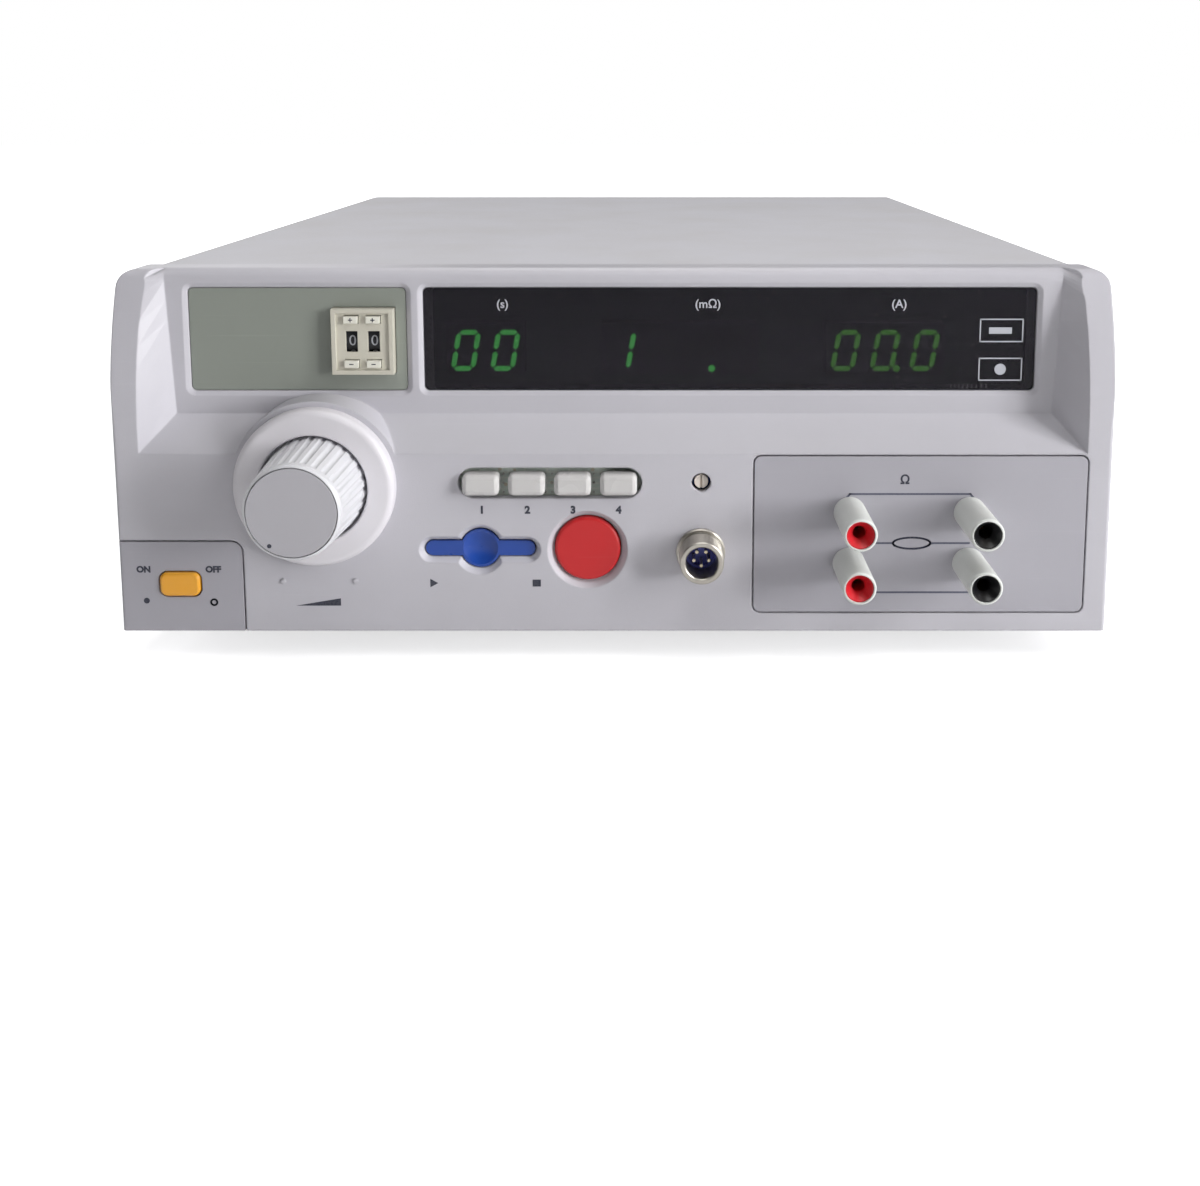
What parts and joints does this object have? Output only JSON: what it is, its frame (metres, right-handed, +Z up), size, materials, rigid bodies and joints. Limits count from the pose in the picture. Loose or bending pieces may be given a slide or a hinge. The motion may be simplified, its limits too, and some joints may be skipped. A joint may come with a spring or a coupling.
{
  "type": "ground resistance tester",
  "caption": "Bench tester with a leaning moulded front, recessed digital display, current knob, push buttons, four test terminals and a sheet-metal cover.",
  "frame": {"origin": "middle of the bounding box, on the plane under the feet", "axes": "+X to the right seen from the front, +Y from the front to the rear, +Z up"},
  "size_m": [0.36, 0.423, 0.144],
  "materials": {
    "bezel_plastic": "light grey moulded plastic, fine texture",
    "window_acrylic": "smoked acrylic",
    "name_plate_film": "grey-green printed film on plastic",
    "knob_plastic": "light grey plastic",
    "knob_cap_plastic": "light grey plastic",
    "shaft_steel": "turned steel",
    "copper_winding": "enamelled copper wire",
    "brush_arm": "cast arm",
    "blue_cap": "blue plastic",
    "red_cap": "red plastic",
    "white_caps": "white plastic",
    "orange_cap": "orange plastic",
    "switch_body": "black plastic",
    "connector_metal": "satin nickel plate",
    "connector_blue": "blue insulator",
    "contact_metal": "bright brass",
    "trimmer_shaft_plastic": "ivory plastic",
    "sleeve_white": "white plastic",
    "liner_red": "red plastic",
    "liner_black": "black plastic",
    "pushwheel_cream": "cream plastic",
    "number_drum_black": "dark plastic with light numerals",
    "board_green": "green circuit board",
    "digit_blocks": "seven-segment modules",
    "chassis_zinc": "zinc-plated sheet",
    "cover_paint": "light grey paint, fine texture",
    "foot_rubber": "black rubber",
    "screw_steel": "nickel-plated steel",
    "core_steel": "stacked steel sheet",
    "board_parts_mixed": "dark component bodies",
    "fan_black": "black plastic",
    "guard_wire": "plated steel wire",
    "inlet_black": "black plastic"
  },
  "bodies": {
    "case": {"front_bezel": "bezel_plastic", "display_window": "window_acrylic", "name_plate": "name_plate_film", "power_plate": "bezel_plastic", "terminal_plate": "bezel_plastic", "dial_ring": "bezel_plastic", "variac_bracket": "shaft_steel", "variac_coil": "copper_winding", "start_switch": "switch_body", "reset_switch": "switch_body", "mode_switches": "switch_body", "connector_shell": "connector_metal", "connector_insert": "connector_blue", "connector_pins": "contact_metal", "connector_nut": "connector_metal", "trimmer_body": "switch_body", "terminal_sleeves": "sleeve_white", "terminal_liners_red": "liner_red", "terminal_liners_black": "liner_black", "terminal_contacts": "contact_metal", "terminal_nuts": "connector_metal", "power_switch": "switch_body", "pushwheel_housing": "pushwheel_cream", "display_board": "board_green", "display_digits": "digit_blocks", "control_board": "board_green", "chassis_base": "chassis_zinc", "top_cover": "cover_paint", "rear_panel": "cover_paint", "feet": "foot_rubber", "case_screws": "screw_steel", "transformer_core": "core_steel", "transformer_coil": "copper_winding", "main_board": "board_green", "board_parts": "board_parts_mixed", "current_shunt": "contact_metal", "fan_frame": "fan_black", "fan_guard": "guard_wire", "mains_inlet": "inlet_black", "fuse_holder": "inlet_black", "ground_post": "contact_metal"},
    "knob": {"knob_grip": "knob_plastic", "knob_cap": "knob_cap_plastic", "variac_shaft": "shaft_steel", "variac_brush": "brush_arm"},
    "power_button": {"power_button": "orange_cap"},
    "start_button": {"start_button": "blue_cap"},
    "reset_button": {"reset_button": "red_cap"},
    "mode_button_1": {"mode_button_1": "white_caps"},
    "mode_button_2": {"mode_button_2": "white_caps"},
    "mode_button_3": {"mode_button_3": "white_caps"},
    "mode_button_4": {"mode_button_4": "white_caps"},
    "trimmer": {"trimmer_shaft": "trimmer_shaft_plastic"},
    "tens_up_key": {"tens_up_key": "pushwheel_cream"},
    "tens_down_key": {"tens_down_key": "pushwheel_cream"},
    "units_up_key": {"units_up_key": "pushwheel_cream"},
    "units_down_key": {"units_down_key": "pushwheel_cream"},
    "tens_drum": {"number_drum_tens": "number_drum_black"},
    "units_drum": {"number_drum_units": "number_drum_black"},
    "fan_impeller": {"fan_impeller": "fan_black"}
  },
  "joints": [
    {"name": "knob_turn", "type": "hinge", "parent": "case", "child": "knob", "pos_m": [-0.1072, -0.1825, 0.067], "axis": [0, 1, 0], "range_deg": [0, 320]},
    {"name": "power_latch", "type": "slide", "parent": "case", "child": "power_button", "axis": [0, -1, 0], "range_m": [0, 0.003]},
    {"name": "start_press", "type": "slide", "parent": "case", "child": "start_button", "axis": [0, 1, 0], "range_m": [0, 0.003], "stiffness_N_per_m": 500},
    {"name": "reset_press", "type": "slide", "parent": "case", "child": "reset_button", "axis": [0, 1, 0], "range_m": [0, 0.003], "stiffness_N_per_m": 500},
    {"name": "mode_1_press", "type": "slide", "parent": "case", "child": "mode_button_1", "axis": [0, 1, 0], "range_m": [0, 0.003]},
    {"name": "mode_2_press", "type": "slide", "parent": "case", "child": "mode_button_2", "axis": [0, 1, 0], "range_m": [0, 0.003]},
    {"name": "mode_3_press", "type": "slide", "parent": "case", "child": "mode_button_3", "axis": [0, 1, 0], "range_m": [0, 0.003]},
    {"name": "mode_4_press", "type": "slide", "parent": "case", "child": "mode_button_4", "axis": [0, 1, 0], "range_m": [0, 0.003]},
    {"name": "trimmer_turn", "type": "hinge", "parent": "case", "child": "trimmer", "pos_m": [0.0318, -0.1775, 0.068], "axis": [0, 1, 0], "range_deg": [0, 270]},
    {"name": "tens_up_press", "type": "slide", "parent": "case", "child": "tens_up_key", "axis": [0, 1, 0], "range_m": [0, 0.0012], "stiffness_N_per_m": 400},
    {"name": "tens_down_press", "type": "slide", "parent": "case", "child": "tens_down_key", "axis": [0, 1, 0], "range_m": [0, 0.0012], "stiffness_N_per_m": 400},
    {"name": "units_up_press", "type": "slide", "parent": "case", "child": "units_up_key", "axis": [0, 1, 0], "range_m": [0, 0.0012], "stiffness_N_per_m": 400},
    {"name": "units_down_press", "type": "slide", "parent": "case", "child": "units_down_key", "axis": [0, 1, 0], "range_m": [0, 0.0012], "stiffness_N_per_m": 400},
    {"name": "tens_drum_turn", "type": "hinge", "parent": "case", "child": "tens_drum", "pos_m": [-0.09575, -0.16045, 0.1174], "axis": [1, 0, 0], "continuous": true},
    {"name": "units_drum_turn", "type": "hinge", "parent": "case", "child": "units_drum", "pos_m": [-0.08765, -0.16045, 0.1174], "axis": [1, 0, 0], "continuous": true},
    {"name": "fan_spin", "type": "hinge", "parent": "case", "child": "fan_impeller", "pos_m": [-0.094, 0.1825, 0.08], "axis": [0, 1, 0], "continuous": true}
  ]
}
